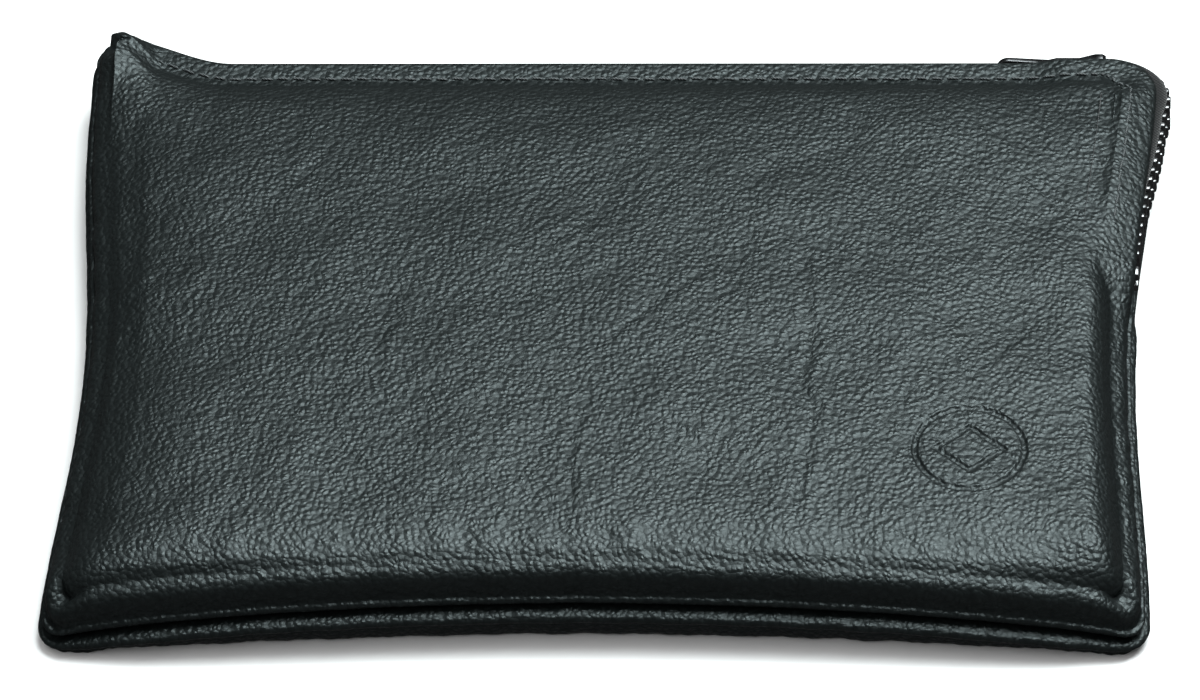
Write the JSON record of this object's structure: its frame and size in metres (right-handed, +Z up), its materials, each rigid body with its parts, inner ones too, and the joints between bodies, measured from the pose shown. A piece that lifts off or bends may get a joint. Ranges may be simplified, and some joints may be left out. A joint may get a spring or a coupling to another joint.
{
  "type": "cash deposit bag",
  "caption": "Stuffed leather cash deposit bag lying on its back, with a metal zip along its top edge and round one corner",
  "frame": {"origin": "middle of the flat patch on the back panel that the bag rests on", "axes": "+X along the bag towards the corner that the zip turns round, +Y to the zipped long edge, +Z up from the back panel to the front panel"},
  "size_m": [0.2588, 0.1853, 0.0252],
  "materials": {
    "leather": "fine pebble grain, semi-matt",
    "lining": "plain woven lining",
    "tape": "woven zip tape",
    "thread": "twisted sewing thread",
    "teeth": "polished nickel-coloured zip teeth",
    "slider": "dark nickel plate"
  },
  "bodies": {
    "back_shell": {"back_panel": "leather", "zip_tape_end_front": "tape", "back_lining": "lining", "zip_tape_back": "tape", "zip_tape_end_back": "tape", "zip_teeth_back": "teeth", "zip_top_stop_back": "teeth", "topstitch_back": "thread", "zip_bottom_stop": "teeth", "seam_thread": "thread"},
    "front_shell": {"front_panel": "leather", "front_lining": "lining", "zip_tape_front": "tape", "zip_teeth_front": "teeth", "zip_top_stop_front": "teeth", "topstitch_front": "thread"},
    "slider": {"slider_body": "slider", "slider_crown": "slider", "slider_lock_spring": "slider"},
    "pull_tab": {"pull_tab": "slider"}
  },
  "joints": [
    {"name": "zip_slide", "type": "slide", "parent": "back_shell", "child": "slider", "axis": [1, 0, 0], "range_m": [-0.205, 0], "deforming": ["zip_teeth_front", "zip_teeth_back", "zip_tape_front", "zip_tape_back"]},
    {"name": "mouth_open", "type": "hinge", "parent": "back_shell", "child": "front_shell", "pos_m": [0, -0.0865, 0.005], "axis": [1, 0, 0], "range_deg": [0, 20], "deforming": ["zip_teeth_front", "zip_tape_front"]},
    {"name": "pull_tab_flip", "type": "hinge", "parent": "slider", "child": "pull_tab", "pos_m": [0.1127, 0.09275, 0.012], "axis": [0, 0, -1], "range_deg": [0, 170]}
  ],
  "couplings": [
    {"joint": "mouth_open", "follows": "zip_slide", "rad_per_m": -1.7}
  ]
}
